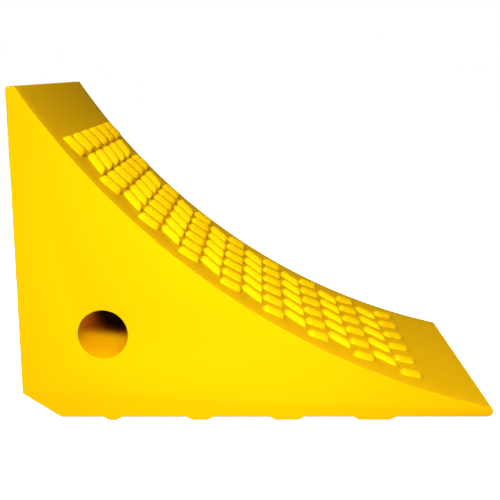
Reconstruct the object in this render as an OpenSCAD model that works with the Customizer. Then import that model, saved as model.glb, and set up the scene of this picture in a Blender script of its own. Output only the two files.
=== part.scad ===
// Wheel chock for a large off-road tyre: one cast polyurethane block with a curved, lugged
// tyre seat, a carrying bore through its thick end and cross cleats under its sole.
// Millimetres, +Z up. The origin is on the ground, at the middle of the outline.
// +X points to the thin toe that slides under the tyre, -X to the tall heel, Y runs across.

/* [Block] */
// Length from the heel face to the tip of the toe
chock_len = 535; // [300:1:800]
// Width across the tyre's tread
chock_wid = 356; // [200:1:500]
// Height of the block from its sole to its top edge
block_h = 372; // [200:1:500]
// Length of the heel's bottom chamfer along the sole
heel_run = 43; // [0:1:80]
// Height of the heel's bottom chamfer up the heel face
heel_rise = 28; // [0:1:60]
// Radius of the toe's rounded nose
nose_r = 6.2; // [6:0.1:12]

/* [Tyre seat] */
// Radius of the curved seat, which is the radius of the tyre it fits
tyre_r = 863; // [855:0.5:865]
// Distance from the heel face to the middle of the tyre
tyre_back = 727.5; // [700:0.5:750]
// Height of the middle of the tyre above the sole
tyre_up = 851; // [845:0.5:860]

/* [Carrying bore] */
// Diameter of the bore through the block
bore_d = 56; // [20:0.5:100]
// Distance from the heel face to the bore's axis
bore_back = 94; // [50:1:200]
// Height of the bore's axis above the sole
bore_up = 97.5; // [50:0.5:250]
// Chamfer at each mouth of the bore
bore_lip = 1; // [0:0.5:6]

/* [Seat lugs] */
// Lugs in a long row
lug_cols = 6; // [2:1:7]
// Spacing of the lugs across the chock
lug_pitch = 51.6; // [35:0.1:58]
// Width of a lug across the chock
lug_wid = 22; // [14:0.5:30]
// Length of a lug along the seat
lug_len = 28.6; // [15:0.1:29]
// Slant of a lug in plan, to one side in long rows and to the other in short rows
lug_skew = 24; // [0:1:30]
// Height of the lugs in the first row, by the heel
lug_first_h = 8; // [5:0.1:10]
// Height of the lugs in the last row, by the toe
lug_last_h = 5.4; // [5:0.1:10]
// Radius of a lug's rounded crown
crown_r = 15; // [15:0.5:40]
// Angle of the first row, seen from the tyre's middle
row_first = 219.4; // [219:0.05:222]
// Angle from one row to the next
row_step = 1.985; // [1.95:0.005:2]

/* [Ground cleats] */
// Depth of the cleats below the sole
cleat_h = 4; // [2:0.5:12]
// Run of a cleat's sloped side, along the sole
cleat_run = 7; // [2:0.5:9]
// Distance from the heel face to the middle of the first cleat
cleat_back = 102; // [60:0.5:130]
// Spacing of the cleats along the sole
cleat_pitch = 99.5; // [60:0.5:110]
// Width of the first cleat where it meets the sole
cleat_wid = 21; // [19:0.5:30]
// Extra width of each next cleat
cleat_grow = 9.2; // [0:0.1:10]

/* [Hidden] */
$fn = 256;
heel_x = -chock_len / 2;
toe_x = chock_len / 2;
sole_z = cleat_h;
top_z = cleat_h + block_h;
tyre_x = heel_x + tyre_back;
tyre_z = sole_z + tyre_up;
// The toe's nose is a round that meets the sole and the toe's end; the seat trims its top.
nose_x = toe_x - nose_r;
nose_z = sole_z + nose_r;
bore_x = heel_x + bore_back;
bore_z = sole_z + bore_up;
// The rows are counted from 0.
last_row = 16;
// How far a cutting shape runs past what it cuts
over = 5;
// Length of the round shapes that trim a lug
trim_len = 3 * lug_len;

// The tyre's outer circle, as a cylinder across the chock.
module tyre_round(len) {
    translate([tyre_x, 0, tyre_z])
        rotate([90, 0, 0])
            cylinder(r = tyre_r, h = len, center = true);
}

// The block's side outline before the seat is cut: heel, chamfer, sole and the toe's end.
module block_outline() {
    polygon([
        [heel_x, sole_z + heel_rise],
        [heel_x + heel_run, sole_z],
        [nose_x, sole_z],
        [nose_x, top_z],
        [heel_x, top_z]
    ]);
}

// The nose that rounds off the toe.
module nose() {
    translate([nose_x, 0, nose_z])
        rotate([90, 0, 0])
            cylinder(r = nose_r, h = chock_wid, center = true);
}

// The carrying bore, with a small chamfer at both mouths.
module bore() {
    translate([bore_x, 0, bore_z])
        rotate([90, 0, 0]) {
            cylinder(d = bore_d, h = chock_wid + 2 * over, center = true);
            for (s = [0, 180])
                rotate([s, 0, 0])
                    translate([0, 0, chock_wid / 2 - bore_lip])
                        cylinder(d1 = bore_d, d2 = bore_d + 4 * bore_lip, h = 2 * bore_lip);
        }
}

module chock_block() {
    color([0.98, 0.82, 0.02])
        difference() {
            union() {
                rotate([90, 0, 0])
                    linear_extrude(height = chock_wid, center = true)
                        block_outline();
                nose();
            }
            tyre_round(chock_wid + 2 * over);
            bore();
        }
}

// One lug in its own frame: +X into the block, +Z along the seat to the toe, and the seat's
// curve at X = tyre_r. A slanted bar with a rounded crown, whose foot follows the seat.
// dir is 1 where its toe end lies further along +Y, and -1 where its heel end does.
module lug(high, dir) {
    shift = dir * tan(lug_skew) * lug_len / 2;
    intersection() {
        translate([tyre_r - high - over, 0, 0])
            rotate([0, 90, 0])
                linear_extrude(height = high + 2 * over)
                    polygon([
                        [lug_len / 2, -lug_wid / 2 - shift],
                        [lug_len / 2, lug_wid / 2 - shift],
                        [-lug_len / 2, lug_wid / 2 + shift],
                        [-lug_len / 2, -lug_wid / 2 + shift]
                    ]);
        translate([tyre_r - high + crown_r, 0, 0])
            rotate([-dir * lug_skew, 0, 0])
                cylinder(r = crown_r, h = trim_len, center = true);
        rotate([90, 180 / $fn, 0])
            cylinder(r = tyre_r, h = trim_len, center = true);
    }
}

// One row of lugs across the seat. Long rows slant one way and short rows the other.
module lug_row(i) {
    odd = i % 2;
    count = lug_cols - odd;
    high = lug_first_h + (lug_last_h - lug_first_h) * i / last_row;
    color([1.0, 0.9, 0.05])
        translate([tyre_x, 0, tyre_z])
            rotate([0, -(row_first + i * row_step), 0])
                for (k = [0 : count - 1])
                    translate([0, (k - (count - 1) / 2) * lug_pitch, 0])
                        lug(high, 1 - 2 * odd);
}

module seat_lug_row_01() { lug_row(0); }
module seat_lug_row_02() { lug_row(1); }
module seat_lug_row_03() { lug_row(2); }
module seat_lug_row_04() { lug_row(3); }
module seat_lug_row_05() { lug_row(4); }
module seat_lug_row_06() { lug_row(5); }
module seat_lug_row_07() { lug_row(6); }
module seat_lug_row_08() { lug_row(7); }
module seat_lug_row_09() { lug_row(8); }
module seat_lug_row_10() { lug_row(9); }
module seat_lug_row_11() { lug_row(10); }
module seat_lug_row_12() { lug_row(11); }
module seat_lug_row_13() { lug_row(12); }
module seat_lug_row_14() { lug_row(13); }
module seat_lug_row_15() { lug_row(14); }
module seat_lug_row_16() { lug_row(15); }
module seat_lug_row_17() { lug_row(16); }

// One cleat, from side face to side face, with sloped sides and a flat that bears on the ground.
module cleat(i) {
    half = (cleat_wid + i * cleat_grow) / 2;
    color([0.95, 0.76, 0.02])
        translate([heel_x + cleat_back + i * cleat_pitch, 0, 0])
            rotate([90, 0, 0])
                linear_extrude(height = chock_wid, center = true)
                    polygon([
                        [-half, sole_z],
                        [half, sole_z],
                        [half - cleat_run, 0],
                        [cleat_run - half, 0]
                    ]);
}

module ground_cleat_1() { cleat(0); }
module ground_cleat_2() { cleat(1); }
module ground_cleat_3() { cleat(2); }
module ground_cleat_4() { cleat(3); }

chock_block();
seat_lug_row_01();
seat_lug_row_02();
seat_lug_row_03();
seat_lug_row_04();
seat_lug_row_05();
seat_lug_row_06();
seat_lug_row_07();
seat_lug_row_08();
seat_lug_row_09();
seat_lug_row_10();
seat_lug_row_11();
seat_lug_row_12();
seat_lug_row_13();
seat_lug_row_14();
seat_lug_row_15();
seat_lug_row_16();
seat_lug_row_17();
ground_cleat_1();
ground_cleat_2();
ground_cleat_3();
ground_cleat_4();
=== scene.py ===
import logging
import math
from dataclasses import dataclass, field, replace
from enum import Enum
from typing import Iterable, Sequence, Union

import bmesh
import bpy
from mathutils import Matrix, Vector
from mathutils.geometry import tessellate_polygon


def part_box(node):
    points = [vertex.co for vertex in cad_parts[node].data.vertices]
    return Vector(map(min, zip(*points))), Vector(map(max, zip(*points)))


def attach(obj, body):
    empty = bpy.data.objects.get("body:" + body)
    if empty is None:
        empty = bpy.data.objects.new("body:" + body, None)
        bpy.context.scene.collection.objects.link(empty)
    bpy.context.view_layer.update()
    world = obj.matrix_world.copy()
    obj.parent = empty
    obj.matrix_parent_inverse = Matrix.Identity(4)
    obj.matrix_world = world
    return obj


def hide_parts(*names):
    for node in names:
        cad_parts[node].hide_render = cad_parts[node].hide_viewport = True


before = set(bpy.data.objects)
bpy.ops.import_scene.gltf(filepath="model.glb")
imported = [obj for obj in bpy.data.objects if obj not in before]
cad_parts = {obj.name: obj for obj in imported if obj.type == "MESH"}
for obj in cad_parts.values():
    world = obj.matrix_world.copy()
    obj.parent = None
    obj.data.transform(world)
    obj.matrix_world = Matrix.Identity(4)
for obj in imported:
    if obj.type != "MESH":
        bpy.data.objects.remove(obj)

log = logging.getLogger("wheel_chock")

MM = 0.001
BODY = "root"
# Points of a mesh that are closer than this, in metres, are one point.
WELD_DISTANCE = 1e-7
# The least cosine of half a corner's turn that an inset allows for, so that no mitre runs long.
SHARPEST_LEAN = 0.3
URETHANE_IOR = 1.45
# A colour Mix node's sockets go by place, because its other kinds of socket share their names.
MIX_FACTOR, MIX_FIRST, MIX_SECOND, MIX_RESULT = 0, 6, 7, 2

Point = tuple[float, float]
Colour = tuple[float, float, float]
Place = tuple[float, float, float]
Number = Union[int, float]
Ring = list[bmesh.types.BMVert]


# --------------------------------------------------------------------------- nodes


class Socket:
    """An output socket that adds its own Math nodes when Python operators are used on it."""

    def __init__(self, tree: "Tree", output: bpy.types.NodeSocket) -> None:
        """Keeps the socket and the tree it belongs to.

        Args:
            tree: The wrapped tree that new nodes go into.
            output: The output socket that carries the value.
        """
        self.tree = tree
        self.output = output

    def _math(self, operation: str, *others: "Socket | Number") -> "Socket":
        """Adds one Math node on this value and the others.

        Args:
            operation: The Math node's operation.
            others: The second and third values, as sockets or numbers.

        Returns:
            The node's result.
        """
        return self.tree.math(operation, self, *others)

    def __add__(self, other: "Socket | Number") -> "Socket":
        """This value plus the other."""
        return self._math("ADD", other)

    def __sub__(self, other: "Socket | Number") -> "Socket":
        """This value less the other."""
        return self._math("SUBTRACT", other)

    def __rsub__(self, other: Number) -> "Socket":
        """A number less this value."""
        return self.tree.math("SUBTRACT", other, self)

    def __mul__(self, other: "Socket | Number") -> "Socket":
        """This value times the other."""
        return self._math("MULTIPLY", other)

    def __truediv__(self, other: "Socket | Number") -> "Socket":
        """This value over the other."""
        return self._math("DIVIDE", other)

    def __pow__(self, other: "Socket | Number") -> "Socket":
        """This value to the power of the other."""
        return self._math("POWER", other)

    def __abs__(self) -> "Socket":
        """This value without its sign."""
        return self._math("ABSOLUTE")

    def at_least(self, floor: "Socket | Number") -> "Socket":
        """The larger of this value and the floor."""
        return self._math("MAXIMUM", floor)

    def at_most(self, ceiling: "Socket | Number") -> "Socket":
        """The smaller of this value and the ceiling."""
        return self._math("MINIMUM", ceiling)

    def less_than(self, limit: "Socket | Number") -> "Socket":
        """1 where this value is below the limit, and 0 elsewhere."""
        return self._math("LESS_THAN", limit)

    def sine(self) -> "Socket":
        """The sine of this angle."""
        return self._math("SINE")

    def cosine(self) -> "Socket":
        """The cosine of this angle."""
        return self._math("COSINE")


class Tree:
    """A node tree, for a finish or for geometry, with one way to add a node."""

    def __init__(self, tree: bpy.types.NodeTree) -> None:
        """Keeps the tree.

        Args:
            tree: The tree that nodes are added to.
        """
        self.tree = tree

    def node(
        self,
        kind: str,
        settings: dict[str, object] | None = None,
        values: dict[str | int, object] | None = None,
    ) -> bpy.types.Node:
        """Adds a node, sets its settings first and then its sockets.

        Args:
            kind: The node's type.
            settings: The node's own settings, such as a Math node's operation.
            values: Input sockets by name or place, each a number, a colour, a Socket or a link.

        Returns:
            The new node.
        """
        new = self.tree.nodes.new(kind)
        for name, value in (settings or {}).items():
            setattr(new, name, value)
        for key, value in (values or {}).items():
            self.set(new.inputs[key], value)
        return new

    def set(self, entry: bpy.types.NodeSocket, value: object) -> None:
        """Links a socket to a value, or gives the socket the value as its own.

        Args:
            entry: The input socket.
            value: A Socket, a node's output, or a plain value.
        """
        if isinstance(value, Socket):
            self.tree.links.new(value.output, entry)
        elif isinstance(value, bpy.types.NodeSocket):
            self.tree.links.new(value, entry)
        else:
            entry.default_value = value

    def math(self, operation: str, *values: "Socket | Number") -> Socket:
        """Adds a Math node.

        Args:
            operation: The node's operation.
            values: Its inputs in order.

        Returns:
            The node's result.
        """
        new = self.node("ShaderNodeMath", {"operation": operation}, dict(enumerate(values)))
        return Socket(self, new.outputs[0])

    def blend(self, factor: object, first: object, second: object) -> bpy.types.NodeSocket:
        """Adds a node that mixes two colours.

        Args:
            factor: The second colour's share, from 0 to 1.
            first: The first colour.
            second: The second colour.

        Returns:
            The mixed colour.
        """
        mix = self.node(
            "ShaderNodeMix",
            {"data_type": "RGBA"},
            {MIX_FACTOR: factor, MIX_FIRST: first, MIX_SECOND: second},
        )
        return mix.outputs[MIX_RESULT]

    def socket(self, node: bpy.types.Node, key: str | int = 0) -> Socket:
        """One of a node's outputs, ready for arithmetic."""
        return Socket(self, node.outputs[key])


# ------------------------------------------------------------------------- finishes


@dataclass(frozen=True)
class CastUrethane:
    """Poured yellow polyurethane: an even colour, a soft sheen and a faint skin from the mould."""

    name: str
    colour: Colour
    shade: Colour
    roughness: float
    cloud_scale: float = 7.0
    cloud_detail: float = 3.0
    cloud_fineness: float = 0.5
    grain_scale: float = 420.0
    grain_detail: float = 2.0
    grain_fineness: float = 0.6
    grain_depth: float = 0.12 * MM
    grain_strength: float = 0.16
    roughness_spread: float = 0.08
    gloss: float = 0.2
    gloss_tint: Colour = (1.0, 0.85, 0.02)

    def material(self) -> bpy.types.Material:
        """Builds the finish.

        Returns:
            The material, named for this finish.
        """
        made = bpy.data.materials.new(self.name)
        made.use_nodes = True
        made.node_tree.nodes.clear()
        tree = Tree(made.node_tree)
        place = tree.node("ShaderNodeTexCoord").outputs["Object"]
        cloud = tree.node(
            "ShaderNodeTexNoise",
            values={
                "Vector": place,
                "Scale": self.cloud_scale,
                "Detail": self.cloud_detail,
                "Roughness": self.cloud_fineness,
            },
        )
        grain = tree.node(
            "ShaderNodeTexNoise",
            values={
                "Vector": place,
                "Scale": self.grain_scale,
                "Detail": self.grain_detail,
                "Roughness": self.grain_fineness,
            },
        )
        colour = tree.blend(cloud.outputs[0], (*self.shade, 1.0), (*self.colour, 1.0))
        roughness = tree.socket(grain) * self.roughness_spread + (
            self.roughness - self.roughness_spread / 2
        )
        bump = tree.node(
            "ShaderNodeBump",
            values={
                "Strength": self.grain_strength,
                "Distance": self.grain_depth,
                "Height": grain.outputs[0],
            },
        )
        shader = tree.node(
            "ShaderNodeBsdfPrincipled",
            values={
                "Base Color": self.with_painted_shade(tree, place, colour),
                "Roughness": roughness,
                "Normal": bump.outputs[0],
                "IOR": URETHANE_IOR,
                "Specular IOR Level": self.gloss,
                "Specular Tint": (*self.gloss_tint, 1.0),
            },
        )
        tree.node("ShaderNodeOutputMaterial", values={"Surface": shader.outputs[0]})
        return made

    def with_painted_shade(
        self, tree: Tree, place: bpy.types.NodeSocket, colour: bpy.types.NodeSocket
    ) -> bpy.types.NodeSocket:
        """The colour with any painted shade laid over it. A plain casting has none.

        Args:
            tree: The finish's tree.
            place: The place on the object.
            colour: The clean colour.

        Returns:
            The colour that shows.
        """
        return colour


@dataclass(frozen=True)
class BoredUrethane(CastUrethane):
    """Cast urethane with painted shade deep in the bore: its middle stretch is darkened where the
    light fades.
    """

    # Painted shade: the colour that the bore's middle stretch is darkened towards, for the shade deep
    # inside it.
    painted_shade: Colour = (0.10, 0.028, 0.0005)
    bore_at: Point = (0.0, 0.0)
    shade_reach: float = 31 * MM
    shade_half: float = 80 * MM
    shade_fade: float = 40 * MM

    def with_painted_shade(
        self, tree: Tree, place: bpy.types.NodeSocket, colour: bpy.types.NodeSocket
    ) -> bpy.types.NodeSocket:
        """The colour with painted shade round the bore's middle stretch laid over it.

        Args:
            tree: The finish's tree.
            place: The place on the object.
            colour: The clean colour.

        Returns:
            The colour that shows.
        """
        parts = tree.node("ShaderNodeSeparateXYZ", values={0: place})
        sideways = tree.socket(parts, 0) - self.bore_at[0]
        upwards = tree.socket(parts, 2) - self.bore_at[1]
        near = (sideways * sideways + upwards * upwards).less_than(self.shade_reach**2)
        depth = (self.shade_half - abs(tree.socket(parts, 1))) / self.shade_fade
        # Painted shade: full round the bore's middle, fading out towards each mouth.
        shade_mask = near * depth.at_least(0.0).at_most(1.0)
        return tree.blend(shade_mask, colour, (*self.painted_shade, 1.0))


BLOCK_YELLOW = (0.85, 0.462, 0.0008)
BLOCK_SHADE = (0.81, 0.437, 0.0008)
BLOCK_ROUGHNESS = 0.56
# The block's finish carries painted shade deep in its bore.
BLOCK_FINISH = BoredUrethane("block_urethane", BLOCK_YELLOW, BLOCK_SHADE, BLOCK_ROUGHNESS)
# The lugs are the block's urethane painted lighter and more lemon: painted light for the brighter
# light on their crowns and near sides.
LUG_FINISH = CastUrethane(
    "lug_urethane", colour=(0.93, 0.56, 0.001), shade=(0.90, 0.535, 0.001), roughness=0.42
)
CLEAT_FINISH = CastUrethane("cleat_urethane", BLOCK_YELLOW, BLOCK_SHADE, BLOCK_ROUGHNESS)


# --------------------------------------------------------------------- mesh helpers


def arc(centre: Point, radius: float, start: float, end: float, steps: int) -> list[Point]:
    """Points along an arc.

    Args:
        centre: The arc's centre.
        radius: Its radius.
        start: The first point's angle in radians.
        end: The last point's angle in radians.
        steps: The number of stretches between points.

    Returns:
        The points, both ends included.
    """
    return [
        (
            centre[0] + radius * math.cos(start + (end - start) * i / steps),
            centre[1] + radius * math.sin(start + (end - start) * i / steps),
        )
        for i in range(steps + 1)
    ]


def eased_corner(
    before: Point, corner: Point, after: Point, radius: float, steps: int
) -> list[Point]:
    """Rounds a corner of an outline off with an arc that touches both of its sides.

    Args:
        before: A point on the side that runs in.
        corner: The sharp corner.
        after: A point on the side that runs out.
        radius: The arc's radius.
        steps: The number of stretches in the arc.

    Returns:
        The arc's points, in the outline's order.
    """
    here = Vector(corner)
    back = (Vector(before) - here).normalized()
    ahead = (Vector(after) - here).normalized()
    half = back.angle(ahead) / 2
    centre = here + (back + ahead).normalized() * (radius / math.sin(half))
    start = here + back * (radius / math.tan(half)) - centre
    end = here + ahead * (radius / math.tan(half)) - centre
    turn = start.angle_signed(end) * -1
    first = math.atan2(start.y, start.x)
    return arc((centre.x, centre.y), radius, first, first + turn, steps)


def outward_normals(outline: Sequence[Point]) -> list[Vector]:
    """The outward direction at each point of a closed outline that runs anticlockwise.

    Args:
        outline: The outline's points.

    Returns:
        One unit vector for each point.
    """
    normals = []
    for i, here in enumerate(outline):
        before = Vector(outline[i - 1])
        after = Vector(outline[(i + 1) % len(outline)])
        side_in = (Vector(here) - before).normalized()
        side_out = (after - Vector(here)).normalized()
        along = (side_in + side_out).normalized()
        lean = max(along.dot(side_out), SHARPEST_LEAN)
        normals.append(Vector((along.y, -along.x)) / lean)
    return normals


def rounded_edge(start: float, radius: float, steps: int) -> list[Point]:
    """Rounds a side edge over with a quarter circle.

    Args:
        start: The side face's place across the chock.
        radius: The quarter circle's radius.
        steps: The number of stretches in it.

    Returns:
        Places across the chock, each with how far the outline is drawn in there.
    """
    quarter = [math.pi / 2 * i / steps for i in range(steps + 1)]
    return [(start + radius * (1 - math.cos(a)), radius * (1 - math.sin(a))) for a in quarter]


def far_side(near: Sequence[Point]) -> list[Point]:
    """The mirror image of the near side's places, in the order that goes on across the chock.

    Args:
        near: Places across the chock, each with a size.

    Returns:
        The far side's places with the same sizes.
    """
    return [(-y, size) for y, size in reversed(near)]


def add_object(name: str, mesh: bpy.types.Mesh, material: bpy.types.Material) -> bpy.types.Object:
    """Puts a finished mesh into the scene.

    Args:
        name: The piece's name.
        mesh: Its mesh, in the row frame.
        material: Its finish.

    Returns:
        The new object.
    """
    mesh.materials.clear()
    mesh.materials.append(material)
    made = bpy.data.objects.new(name, mesh)
    bpy.context.scene.collection.objects.link(made)
    return made


def fit_out(piece: bpy.types.Object, nodes: Iterable[str]) -> None:
    """Fixes a finished piece to the chock's body, in place of its CAD nodes.

    Args:
        piece: The finished piece.
        nodes: The CAD nodes it stands for.
    """
    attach(piece, BODY)
    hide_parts(*nodes)
    log.info("%s: %d faces", piece.name, len(piece.data.polygons))


class RingMesh:
    """A mesh that is laid up from closed rings of points, one after the other."""

    def __init__(self) -> None:
        """Starts an empty mesh."""
        self.bm = bmesh.new()

    def ring(self, points: Iterable[Vector]) -> Ring:
        """Adds one closed ring of points.

        Args:
            points: The ring's points in order.

        Returns:
            The ring's vertices.
        """
        return [self.bm.verts.new(p) for p in points]

    def section(
        self, outline: Sequence[Point], normals: Sequence[Vector], y: float, inset: float
    ) -> Ring:
        """Adds a side outline as one ring.

        Args:
            outline: The outline's points in X and Z.
            normals: The outward direction at each point.
            y: The ring's place across the chock.
            inset: How far the outline is drawn in.

        Returns:
            The ring's vertices.
        """
        return self.ring(
            Vector((p[0] - n.x * inset, y, p[1] - n.y * inset)) for p, n in zip(outline, normals)
        )

    def skin(self, rings: list[Ring]) -> None:
        """Lays a band of faces between each ring and the next.

        Args:
            rings: The rings in order, all with the same number of points.
        """
        for one, two in zip(rings, rings[1:]):
            count = len(one)
            for i in range(count):
                j = (i + 1) % count
                self.bm.faces.new((one[i], one[j], two[j], two[i]))

    def cap(self, rings: list[Ring], flip: bool) -> None:
        """Closes a flat end that may have holes in it.

        Args:
            rings: The outer ring and then the rings of the holes.
            flip: Whether the faces turn the other way.
        """
        flat = [v for ring in rings for v in ring]
        for triangle in tessellate_polygon([[v.co for v in ring] for ring in rings]):
            turned = reversed(triangle) if flip else triangle
            self.bm.faces.new([flat[i] for i in turned])

    def mesh(self, name: str, sharp: float) -> bpy.types.Mesh:
        """Finishes the mesh.

        Args:
            name: The mesh's name.
            sharp: Edges that turn by more than this angle, in radians, stay crisp.

        Returns:
            The mesh, with its faces turned outwards and smooth between its crisp edges.
        """
        bmesh.ops.remove_doubles(self.bm, verts=self.bm.verts, dist=WELD_DISTANCE)
        bmesh.ops.recalc_face_normals(self.bm, faces=self.bm.faces)
        for edge in self.bm.edges:
            edge.smooth = not edge.is_manifold or edge.calc_face_angle() < sharp
        for face in self.bm.faces:
            face.smooth = True
        made = bpy.data.meshes.new(name)
        self.bm.to_mesh(made)
        self.bm.free()
        return made


# ----------------------------------------------------------------------- the block


@dataclass
class TyreSeat:
    """The circle that the tyre's tread lies on, placed from the heel face and the sole."""

    heel_x: float
    sole_z: float
    radius: float = 863 * MM
    back: float = 727.5 * MM
    up: float = 851 * MM

    @property
    def centre(self) -> Point:
        """The circle's centre, in X and Z."""
        return (self.heel_x + self.back, self.sole_z + self.up)

    def angle_at_height(self, z: float) -> float:
        """The angle, seen from the centre, at which the seat reaches a height on its heel side."""
        return math.pi + math.asin((self.centre[1] - z) / self.radius)


@dataclass
class ChockBlock:
    """The cast wedge: heel, chamfered foot, flat sole, rounded toe, curved seat and bore."""

    seat: TyreSeat
    low: Vector
    high: Vector
    heel_run: float = 43 * MM
    heel_rise: float = 28 * MM
    nose: float = 6.2 * MM
    bore_back: float = 94 * MM
    bore_up: float = 97.5 * MM
    bore_radius: float = 28 * MM
    lip: float = 1.0 * MM
    corner: float = 2.5 * MM
    edge: float = 1.4 * MM
    seat_steps: int = 120
    ease_steps: int = 4
    width_steps: int = 12
    nose_steps: int = 14
    bore_steps: int = 96
    crisp: float = math.radians(12)
    finish: BoredUrethane = BLOCK_FINISH

    def outline(self) -> list[Point]:
        """The block's side outline, anticlockwise from the heel's foot.

        Returns:
            The outline's points in X and Z.
        """
        heel, toe = self.low.x, self.high.x
        sole, top = self.low.z, self.high.z
        foot = (heel, sole + self.heel_rise)
        chamfer = (heel + self.heel_run, sole)
        heel_top = (heel, top)
        cx, cz = self.seat.centre
        r = self.seat.radius
        nose_at = (toe - self.nose, sole + self.nose)
        gap = math.hypot(nose_at[0] - cx, nose_at[1] - cz)
        bearing = math.atan2(nose_at[1] - cz, nose_at[0] - cx)
        open_seat = math.acos((gap * gap + r * r - self.nose**2) / (2 * gap * r))
        open_nose = math.acos((gap * gap + self.nose**2 - r * r) / (2 * gap * self.nose))
        seat_end = bearing + open_seat + 2 * math.pi
        seat_top = self.seat.angle_at_height(top)
        crest = (cx + r * math.cos(seat_top), top)
        down = (crest[0] - math.sin(seat_top), crest[1] + math.cos(seat_top))
        nose_end = bearing + math.pi - open_nose
        points = eased_corner(heel_top, foot, chamfer, self.corner, self.ease_steps)
        points += eased_corner(foot, chamfer, (nose_at[0], sole), self.corner, self.ease_steps)
        points += arc(nose_at, self.nose, -math.pi / 2, nose_end, self.nose_steps)
        points += arc(self.seat.centre, r, seat_end, seat_top, self.seat_steps)[1:-1]
        points += eased_corner(down, crest, heel_top, self.corner / 2, self.ease_steps)
        points += eased_corner(crest, heel_top, foot, self.corner, self.ease_steps)
        return points

    def bore_centre(self) -> Point:
        """The bore's axis, in X and Z."""
        return (self.low.x + self.bore_back, self.low.z + self.bore_up)

    def mesh(self) -> bpy.types.Mesh:
        """Lays up the whole block.

        Returns:
            The closed mesh.
        """
        outline = self.outline()
        normals = outward_normals(outline)
        half = self.high.y
        made = RingMesh()

        def bore_ring(y: float, radius: float) -> Ring:
            """One ring of the bore's wall."""
            cx, cz = self.bore_centre()
            turn = 2 * math.pi / self.bore_steps
            return made.ring(
                Vector((cx + radius * math.cos(i * turn), y, cz + radius * math.sin(i * turn)))
                for i in range(self.bore_steps)
            )

        inner = range(1, self.width_steps)
        near = rounded_edge(-half, self.edge, self.ease_steps)
        span = half - self.edge
        middle = [(-span + 2 * span * i / self.width_steps, 0.0) for i in inner]
        stations = near + middle + far_side(near)
        skin = [made.section(outline, normals, y, inset) for y, inset in stations]
        made.skin(skin)

        mouth = [
            (y, self.bore_radius + flare)
            for y, flare in rounded_edge(-half, self.lip, self.ease_steps)
        ]
        depth = half - self.lip
        wall = [(-depth + 2 * depth * i / self.width_steps, self.bore_radius) for i in inner]
        bore = [bore_ring(y, radius) for y, radius in mouth + wall + far_side(mouth)]
        made.skin(bore)

        made.cap([skin[0], bore[0]], flip=False)
        made.cap([skin[-1], bore[-1]], flip=True)
        return made.mesh("chock_block_skin", self.crisp)

    def build(self) -> bpy.types.Object:
        """Makes the block and fixes it in place.

        Returns:
            The finished piece.
        """
        finish = replace(self.finish, bore_at=self.bore_centre())
        piece = add_object("chock_block_skin", self.mesh(), finish.material())
        fit_out(piece, ["chock_block"])
        return piece


# ------------------------------------------------------------------------ the lugs


class RowKind(Enum):
    """The two kinds of lug row, by the lugs that a row leaves out and the way its bars slant."""

    LONG = (0, 1.0)
    SHORT = (1, -1.0)

    @property
    def fewer(self) -> int:
        """How many lugs fewer than a long row it holds."""
        return self.value[0]

    @property
    def slant(self) -> float:
        """1 where a bar's toe end lies further along +Y than its heel end, -1 where it is nearer."""
        return self.value[1]


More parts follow.
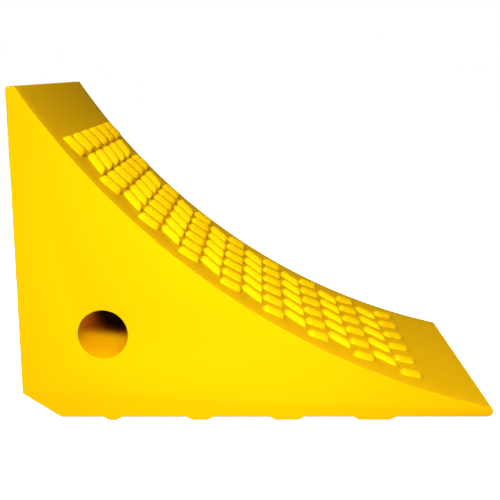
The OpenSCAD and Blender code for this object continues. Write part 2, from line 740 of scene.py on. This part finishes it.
@dataclass
class SeatLugs:
    """Herringbone rows of low rounded bars along the seat, set over by half a pitch."""

    seat: TyreSeat
    rows: int = 17
    columns: int = 6
    pitch: float = 51.6 * MM
    width: float = 22 * MM
    length: float = 28.6 * MM
    first_height: float = 8.0 * MM
    last_height: float = 5.4 * MM
    skew: float = math.radians(24.0)
    first: float = math.radians(219.4)
    step: float = math.radians(1.985)
    foot: float = 0.35 * MM
    hump: float = 2.3
    hump_ease: float = 0.75
    end: float = 7.0
    end_ease: float = 0.6
    corner: float = 6.0
    corner_cut: float = 0.42
    steps_along: int = 15
    steps_across: int = 21
    finish: CastUrethane = LUG_FINISH

    def height(self, index: int) -> float:
        """A row's height, which falls evenly from the first row to the last."""
        part = index / (self.rows - 1)
        return self.first_height + (self.last_height - self.first_height) * part

    def tree(self, material: bpy.types.Material) -> bpy.types.NodeTree:
        """Builds the tree that makes one row of lugs on the seat.

        Args:
            material: The lugs' finish.

        Returns:
            The tree, with named inputs for the row's sizes.
        """
        group = bpy.data.node_groups.new("seat_lug_row", "GeometryNodeTree")
        face = group.interface
        face.new_socket(name="Lugs", in_out="INPUT", socket_type="NodeSocketInt")
        for name in (
            "Pitch",
            "Width",
            "Length",
            "Height",
            "Slant",
            "Row Angle",
            "Seat Radius",
            "Seat X",
            "Seat Z",
        ):
            face.new_socket(name=name, in_out="INPUT", socket_type="NodeSocketFloat")
        face.new_socket(name="Geometry", in_out="OUTPUT", socket_type="NodeSocketGeometry")
        tree = Tree(group)
        given = tree.node("NodeGroupInput")

        def size(name: str) -> Socket:
            """One of the tree's named inputs."""
            return tree.socket(given, name)

        slab = tree.node(
            "GeometryNodeMeshCube",
            values={
                "Size": (2.0, 2.0, 2.0),
                "Vertices X": self.steps_along,
                "Vertices Y": self.steps_across,
                "Vertices Z": 2,
            },
        )
        place = tree.node("GeometryNodeInputPosition")
        parts = tree.node("ShaderNodeSeparateXYZ", values={0: place.outputs[0]})
        along = (tree.socket(parts, 0) * (math.pi / 2)).sine()
        across = tree.socket(parts, 1)
        upper = (tree.socket(parts, 2) + 1) / 2
        end_fall = (1 - abs(along) ** self.end).at_least(0.0) ** self.end_ease
        side_fall = (1 - abs(across) ** self.hump).at_least(0.0) ** self.hump_ease
        rise = (size("Height") + self.foot) * end_fall * side_fall * upper
        rise = rise - self.foot - (1 - upper) * self.foot
        plan = across * (1 - abs(along) ** self.corner * self.corner_cut)
        run = along * size("Length") / 2
        angle = size("Row Angle") + run / size("Seat Radius")
        reach = size("Seat Radius") - rise
        where = tree.node(
            "ShaderNodeCombineXYZ",
            values={
                0: size("Seat X") + reach * angle.cosine(),
                1: plan * size("Width") / 2 + run * size("Slant"),
                2: size("Seat Z") + reach * angle.sine(),
            },
        )
        lug = tree.node(
            "GeometryNodeSetPosition",
            values={"Geometry": slab.outputs[0], "Position": where.outputs[0]},
        )
        start = tree.node(
            "ShaderNodeCombineXYZ", values={1: (1 - size("Lugs")) * size("Pitch") / 2}
        )
        offset = tree.node("ShaderNodeCombineXYZ", values={1: size("Pitch")})
        line = tree.node(
            "GeometryNodeMeshLine",
            values={
                "Count": size("Lugs"),
                "Start Location": start.outputs[0],
                "Offset": offset.outputs[0],
            },
        )
        row = tree.node(
            "GeometryNodeInstanceOnPoints",
            values={"Points": line.outputs[0], "Instance": lug.outputs[0]},
        )
        real = tree.node("GeometryNodeRealizeInstances", values={0: row.outputs[0]})
        smooth = tree.node("GeometryNodeSetShadeSmooth", values={"Geometry": real.outputs[0]})
        dressed = tree.node(
            "GeometryNodeSetMaterial",
            values={"Geometry": smooth.outputs[0], "Material": material},
        )
        tree.node("NodeGroupOutput", values={0: dressed.outputs[0]})
        return group

    def row(
        self, index: int, group: bpy.types.NodeTree, material: bpy.types.Material
    ) -> bpy.types.Object:
        """Makes one row of lugs as a plain mesh and fixes it in place.

        Args:
            index: The row's place, counted from the heel.
            group: The tree that makes a row.
            material: The lugs' finish.

        Returns:
            The finished piece.
        """
        kind = RowKind.SHORT if index % 2 else RowKind.LONG
        name = f"seat_lug_row_{index + 1:02d}"
        maker = bpy.data.objects.new(name + "_maker", bpy.data.meshes.new(name))
        bpy.context.scene.collection.objects.link(maker)
        modifier = maker.modifiers.new("lugs", "NODES")
        modifier.node_group = group
        cx, cz = self.seat.centre
        sizes = {
            "Lugs": self.columns - kind.fewer,
            "Pitch": self.pitch,
            "Width": self.width,
            "Length": self.length,
            "Height": self.height(index),
            "Slant": kind.slant * math.tan(self.skew),
            "Row Angle": self.first + index * self.step,
            "Seat Radius": self.seat.radius,
            "Seat X": cx,
            "Seat Z": cz,
        }
        for item in group.interface.items_tree:
            if item.name in sizes:
                modifier[item.identifier] = sizes[item.name]
        ready = maker.evaluated_get(bpy.context.evaluated_depsgraph_get())
        mesh = bpy.data.meshes.new_from_object(ready)
        bpy.data.objects.remove(maker)
        piece = add_object(name + "_skin", mesh, material)
        fit_out(piece, [name])
        return piece

    def build(self) -> list[bpy.types.Object]:
        """Makes every row.

        Returns:
            The finished pieces.
        """
        material = self.finish.material()
        group = self.tree(material)
        return [self.row(i, group, material) for i in range(self.rows)]


# ---------------------------------------------------------------------- the cleats


@dataclass
class GroundCleats:
    """Cross cleats from side to side under the sole, each wider than the last towards the toe."""

    names: list[str] = field(default_factory=lambda: [f"ground_cleat_{i}" for i in range(1, 5)])
    run: float = 7 * MM
    edge: float = 1.2 * MM
    root: float = 1.3 * MM
    ease_steps: int = 4
    crisp: float = math.radians(30)
    finish: CastUrethane = CLEAT_FINISH

    def profile(self, low: Vector, high: Vector) -> list[Point]:
        """A cleat's cross section, anticlockwise, let a little into the block above it.

        Args:
            low: The cleat's lowest corner.
            high: Its highest corner.

        Returns:
            The section's points in X and Z.
        """
        right, left = (high.x - self.run, low.z), (low.x + self.run, low.z)
        top_right, top_left = (high.x, high.z), (low.x, high.z)
        points = [(low.x, high.z + self.root), top_left]
        points += eased_corner(top_left, left, right, self.edge, self.ease_steps)
        points += eased_corner(left, right, top_right, self.edge, self.ease_steps)
        points += [top_right, (high.x, high.z + self.root)]
        return points

    def cleat(self, name: str, material: bpy.types.Material) -> bpy.types.Object:
        """Makes one cleat with eased ends and fixes it in place.

        Args:
            name: The cleat's node.
            material: Its finish.

        Returns:
            The finished piece.
        """
        low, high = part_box(name)
        outline = self.profile(low, high)
        # Only what shows below the sole is drawn in at the ends.
        normals = [
            n if p[1] < high.z else Vector((0.0, 0.0))
            for p, n in zip(outline, outward_normals(outline))
        ]
        made = RingMesh()
        near = rounded_edge(low.y, self.edge, self.ease_steps)
        rings = [made.section(outline, normals, y, inset) for y, inset in near + far_side(near)]
        made.skin(rings)
        made.cap([rings[0]], flip=False)
        made.cap([rings[-1]], flip=True)
        mesh = made.mesh(name + "_skin", self.crisp)
        piece = add_object(name + "_skin", mesh, material)
        fit_out(piece, [name])
        return piece

    def build(self) -> list[bpy.types.Object]:
        """Makes every cleat.

        Returns:
            The finished pieces.
        """
        material = self.finish.material()
        return [self.cleat(name, material) for name in self.names]


# ---------------------------------------------------------------------- the studio


@dataclass(frozen=True)
class SoftLamp:
    """A square soft light: where it stands and looks, its size, power and cone, and if it glints."""

    name: str
    place: Place
    aim: Place
    size: float
    power: float
    spread: float = math.pi
    glints: bool = True

    def build(self) -> bpy.types.Object:
        """Hangs the lamp.

        Returns:
            The lamp.
        """
        data = bpy.data.lights.new(self.name, "AREA")
        data.shape = "SQUARE"
        data.size = self.size
        data.energy = self.power
        data.spread = self.spread
        lamp = bpy.data.objects.new(self.name, data)
        lamp.location = self.place
        lamp.visible_glossy = self.glints
        way = Vector(self.aim) - Vector(self.place)
        lamp.rotation_euler = way.to_track_quat("-Z", "Y").to_euler()
        bpy.context.scene.collection.objects.link(lamp)
        return lamp


# The key light and the sheen hang in one place: the key only shades, and the weaker sheen glints too.
KEY_PLACE = (-0.06, -1.39, 0.825)
KEY_AIM = (-0.03, -0.18, 0.04)
KEY_SIZE = 0.22
KEY_SPREAD = math.radians(75)
FILL_AIM = (0.1, 0.0, 0.09)
FILL_SIZE = 0.6


@dataclass
class Studio:
    """A plain pale floor, soft lamps, a white surround and the camera."""

    lamps: tuple[SoftLamp, ...] = (
        SoftLamp("key", KEY_PLACE, KEY_AIM, KEY_SIZE, 4.9, KEY_SPREAD, glints=False),
        SoftLamp("sheen", KEY_PLACE, KEY_AIM, KEY_SIZE, 1.25, KEY_SPREAD),
        SoftLamp("top_fill", (-0.80, 0.60, 1.30), FILL_AIM, FILL_SIZE, 11.2, glints=False),
        SoftLamp("toe_fill", (0.80, 0.00, 1.50), FILL_AIM, FILL_SIZE, 2.4, glints=False),
        SoftLamp("heel_fill", (-1.90, 1.70, 0.30), (-0.1, 0.1, 0.17), 1.0, 75.0, glints=False),
    )
    floor_side: float = 16.0
    floor_colour: Colour = (0.93, 0.93, 0.93)
    floor_glow: float = 0.98
    surround: float = 0.11
    eye: Place = (0.0032, -1.1463, 0.3925)
    pitch: float = math.radians(11.36)
    yaw: float = math.radians(0.66)
    roll: float = math.radians(-0.28)
    lens: float = 64.83
    sensor: float = 36.0
    nearest: float = 0.01
    farthest: float = 50.0

    def floor(self) -> bpy.types.Object:
        """Lays the floor under the cleats.

        Returns:
            The floor.
        """
        side = self.floor_side / 2
        mesh = bpy.data.meshes.new("floor")
        square = [(-side, -side, 0), (side, -side, 0), (side, side, 0), (-side, side, 0)]
        mesh.from_pydata(square, [], [(0, 1, 2, 3)])
        paint = bpy.data.materials.new("floor_paper")
        paint.use_nodes = True
        paint.node_tree.nodes.clear()
        tree = Tree(paint.node_tree)
        shader = tree.node(
            "ShaderNodeBsdfPrincipled",
            values={
                "Base Color": (*self.floor_colour, 1.0),
                "Roughness": 1.0,
                "Specular IOR Level": 0.0,
                "Emission Color": (1.0, 1.0, 1.0, 1.0),
                "Emission Strength": self.floor_glow,
            },
        )
        tree.node("ShaderNodeOutputMaterial", values={"Surface": shader.outputs[0]})
        floor = add_object("floor", mesh, paint)
        floor.visible_diffuse = False
        floor.visible_glossy = False
        return floor

    def world(self) -> None:
        """Sets a surround that looks white and gives a little even light."""
        world = bpy.data.worlds.new("surround")
        bpy.context.scene.world = world
        world.use_nodes = True
        world.node_tree.nodes.clear()
        tree = Tree(world.node_tree)
        seen = tree.socket(tree.node("ShaderNodeLightPath"), "Is Camera Ray")
        glow = tree.node(
            "ShaderNodeBackground",
            values={
                "Color": (1.0, 1.0, 1.0, 1.0),
                "Strength": seen * (1 - self.surround) + self.surround,
            },
        )
        tree.node("ShaderNodeOutputWorld", values={"Surface": glow.outputs[0]})
        world.cycles_visibility.glossy = False

    def camera(self) -> bpy.types.Object:
        """Sets up the camera.

        Returns:
            The camera.
        """
        data = bpy.data.cameras.new("camera")
        data.sensor_width = self.sensor
        data.lens = self.lens
        data.clip_start, data.clip_end = self.nearest, self.farthest
        camera = bpy.data.objects.new("camera", data)
        camera.location = self.eye
        heading = Matrix.Rotation(self.yaw, 4, "Z")
        tilt = Matrix.Rotation(math.pi / 2 - self.pitch, 4, "X")
        lean = Matrix.Rotation(self.roll, 4, "Z")
        camera.rotation_euler = (heading @ tilt @ lean).to_euler()
        bpy.context.scene.collection.objects.link(camera)
        bpy.context.scene.camera = camera
        return camera

    def build(self) -> None:
        """Sets the whole studio up."""
        self.floor()
        self.world()
        self.camera()
        for lamp in self.lamps:
            lamp.build()
        bpy.context.scene.view_settings.view_transform = "Standard"
        bpy.context.scene.view_settings.look = "None"


# ------------------------------------------------------------------------ the whole


def main() -> None:
    """Builds the chock piece by piece and sets the studio."""
    logging.basicConfig(level=logging.INFO, format="%(name)s %(message)s")
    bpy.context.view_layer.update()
    low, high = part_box("chock_block")
    seat = TyreSeat(heel_x=low.x, sole_z=low.z)
    ChockBlock(seat, low, high).build()
    SeatLugs(seat).build()
    GroundCleats().build()
    Studio().build()


if __name__ == "__main__":
    main()
